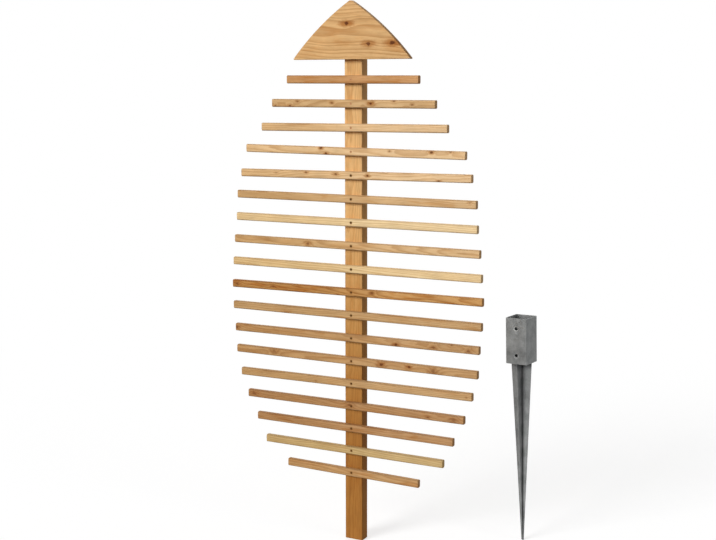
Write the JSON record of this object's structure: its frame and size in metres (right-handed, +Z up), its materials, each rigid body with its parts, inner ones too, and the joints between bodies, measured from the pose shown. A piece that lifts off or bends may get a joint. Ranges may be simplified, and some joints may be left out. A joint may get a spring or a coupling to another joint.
{
  "type": "garden trellis",
  "caption": "Leaf-shaped wooden plant trellis with a central post, a pointed cap board and slats of differing length, and its separate steel ground spike.",
  "frame": {"origin": "centre of the post's foot, on the ground", "axes": "+X along the slats to the right as seen from the front, +Y to the back, +Z up the post; the slats are on the -Y side of the post"},
  "size_m": [0.9751, 0.3154, 1.75],
  "materials": {
    "larch_post": "matte, planed and unsealed",
    "larch_cap": "matte, planed and unsealed",
    "larch_orange": "matte, planed and unsealed",
    "larch_honey": "matte, planed and unsealed",
    "larch_pink": "matte, planed and unsealed",
    "larch_cream": "matte, planed and unsealed",
    "larch_rust": "matte, planed and unsealed",
    "larch_tan": "matte, planed and unsealed",
    "larch_brown": "matte, planed and unsealed",
    "larch_umber": "matte, planed and unsealed",
    "larch_straw": "matte, planed and unsealed",
    "screw_steel": "dull, browned",
    "galvanised_steel": "matte hot-dip zinc, mottled"
  },
  "bodies": {
    "root": {"post": "larch_post", "cap_board": "larch_cap", "slat_01": "larch_orange", "slat_02": "larch_honey", "slat_03": "larch_pink", "slat_04": "larch_pink", "slat_05": "larch_pink", "slat_06": "larch_honey", "slat_07": "larch_cream", "slat_08": "larch_honey", "slat_09": "larch_cream", "slat_10": "larch_rust", "slat_11": "larch_tan", "slat_12": "larch_brown", "slat_13": "larch_brown", "slat_14": "larch_tan", "slat_15": "larch_umber", "slat_16": "larch_umber", "slat_17": "larch_straw", "slat_18": "larch_brown", "slat_screws": "screw_steel", "cap_screws": "screw_steel", "spike_sleeve": "galvanised_steel", "spike_front_angle": "galvanised_steel", "spike_back_angle": "galvanised_steel"}
  },
  "joints": []
}
